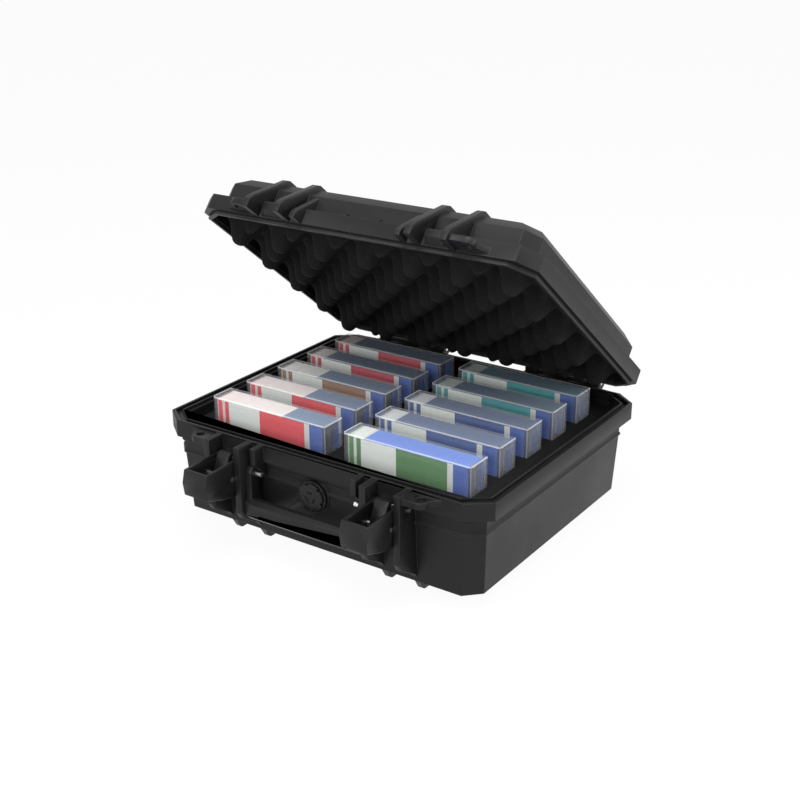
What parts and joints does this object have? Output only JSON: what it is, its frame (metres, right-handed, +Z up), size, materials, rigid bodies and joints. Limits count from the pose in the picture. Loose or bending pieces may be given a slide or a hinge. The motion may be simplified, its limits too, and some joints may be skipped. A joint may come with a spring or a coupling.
{
  "type": "cassette carry case",
  "caption": "Rugged hinged carry case with slotted foam holding upright boxed data cassettes, egg-crate lid foam, two pull latches, folding handle, pressure valve",
  "frame": {"origin": "middle of the flat bottom that the case stands on", "axes": "+X to the viewer's right along the front, +Y from the front with the latches to the hinge at the back, +Z up"},
  "size_m": [0.336, 0.3414, 0.2984],
  "materials": {
    "case_black": "moulded black polymer, light sheen",
    "fitting": "moulded black polymer, slightly smoother",
    "foam": "open-cell charcoal foam",
    "seal": "black rubber",
    "steel_pin": "plain steel pin",
    "clear_box": "frosted clear polypropylene",
    "cartridge": "dark cartridge shell",
    "card_red": "printed card, red",
    "card_tan": "printed card, brown",
    "card_green": "printed card, green",
    "card_blue": "printed card, blue",
    "card_teal": "printed card, teal"
  },
  "bodies": {
    "base": {"base_shell": "case_black", "base_floor_pad": "foam", "base_foam_insert": "foam", "valve_body": "fitting", "valve_gasket": "seal", "valve_nut": "fitting", "hinge_pins": "steel_pin", "latch_pins": "steel_pin", "handle_pins": "steel_pin"},
    "lid": {"lid_shell": "case_black", "lid_seal": "seal", "lid_foam": "foam"},
    "lever_left": {"latch_lever_left": "fitting", "hook_pin_left": "steel_pin"},
    "lever_right": {"latch_lever_right": "fitting", "hook_pin_right": "steel_pin"},
    "hook_left": {"latch_hook_left": "fitting"},
    "hook_right": {"latch_hook_right": "fitting"},
    "handle": {"handle": "fitting"},
    "valve_knob": {"valve_knob": "fitting"},
    "cassette_1": {"case_1": "clear_box", "card_1": "card_red", "cartridge_1": "cartridge"},
    "cassette_2": {"case_2": "clear_box", "card_2": "card_red", "cartridge_2": "cartridge"},
    "cassette_3": {"case_3": "clear_box", "card_3": "card_tan", "cartridge_3": "cartridge"},
    "cassette_4": {"case_4": "clear_box", "card_4": "card_red", "cartridge_4": "cartridge"},
    "cassette_5": {"case_5": "clear_box", "card_5": "card_red", "cartridge_5": "cartridge"},
    "cassette_6": {"case_6": "clear_box", "card_6": "card_green", "cartridge_6": "cartridge"},
    "cassette_7": {"case_7": "clear_box", "card_7": "card_blue", "cartridge_7": "cartridge"},
    "cassette_8": {"case_8": "clear_box", "card_8": "card_blue", "cartridge_8": "cartridge"},
    "cassette_9": {"case_9": "clear_box", "card_9": "card_teal", "cartridge_9": "cartridge"},
    "cassette_10": {"case_10": "clear_box", "card_10": "card_teal", "cartridge_10": "cartridge"}
  },
  "joints": [
    {"name": "lid_hinge", "type": "hinge", "parent": "base", "child": "lid", "pos_m": [0, 0.1466, 0.0997], "axis": [-1, 0, 0], "range_deg": [-38.62, 60], "deforming": ["lid_foam"]},
    {"name": "lever_left_hinge", "type": "hinge", "parent": "base", "child": "lever_left", "pos_m": [-0.08175, -0.14, 0.0816], "axis": [1, 0, 0], "range_deg": [-90, 0]},
    {"name": "hook_left_hinge", "type": "hinge", "parent": "lever_left", "child": "hook_left", "pos_m": [-0.082, -0.15465, 0.06895], "axis": [-1, 0, 0], "range_deg": [-90, 0]},
    {"name": "lever_right_hinge", "type": "hinge", "parent": "base", "child": "lever_right", "pos_m": [0.08175, -0.14, 0.0816], "axis": [1, 0, 0], "range_deg": [-90, 0]},
    {"name": "hook_right_hinge", "type": "hinge", "parent": "lever_right", "child": "hook_right", "pos_m": [0.082, -0.15465, 0.06895], "axis": [-1, 0, 0], "range_deg": [-90, 0]},
    {"name": "handle_hinge", "type": "hinge", "parent": "base", "child": "handle", "pos_m": [0, -0.1402, 0.0729], "axis": [-1, 0, 0], "range_deg": [0, 100]},
    {"name": "valve_turn", "type": "hinge", "parent": "base", "child": "valve_knob", "pos_m": [0, -0.136, 0.0633], "axis": [0, -1, 0], "range_deg": [0, 270]},
    {"name": "cassette_1_lift", "type": "slide", "parent": "base", "child": "cassette_1", "axis": [0, 0, 1], "range_m": [0, 0.082]},
    {"name": "cassette_2_lift", "type": "slide", "parent": "base", "child": "cassette_2", "axis": [0, 0, 1], "range_m": [0, 0.082]},
    {"name": "cassette_3_lift", "type": "slide", "parent": "base", "child": "cassette_3", "axis": [0, 0, 1], "range_m": [0, 0.082]},
    {"name": "cassette_4_lift", "type": "slide", "parent": "base", "child": "cassette_4", "axis": [0, 0, 1], "range_m": [0, 0.082]},
    {"name": "cassette_5_lift", "type": "slide", "parent": "base", "child": "cassette_5", "axis": [0, 0, 1], "range_m": [0, 0.05]},
    {"name": "cassette_6_lift", "type": "slide", "parent": "base", "child": "cassette_6", "axis": [0, 0, 1], "range_m": [0, 0.082]},
    {"name": "cassette_7_lift", "type": "slide", "parent": "base", "child": "cassette_7", "axis": [0, 0, 1], "range_m": [0, 0.082]},
    {"name": "cassette_8_lift", "type": "slide", "parent": "base", "child": "cassette_8", "axis": [0, 0, 1], "range_m": [0, 0.082]},
    {"name": "cassette_9_lift", "type": "slide", "parent": "base", "child": "cassette_9", "axis": [0, 0, 1], "range_m": [0, 0.082]},
    {"name": "cassette_10_lift", "type": "slide", "parent": "base", "child": "cassette_10", "axis": [0, 0, 1], "range_m": [0, 0.05]}
  ],
  "couplings": [
    {"joint": "hook_left_hinge", "follows": "lever_left_hinge", "ratio": 1},
    {"joint": "hook_right_hinge", "follows": "lever_right_hinge", "ratio": 1}
  ]
}
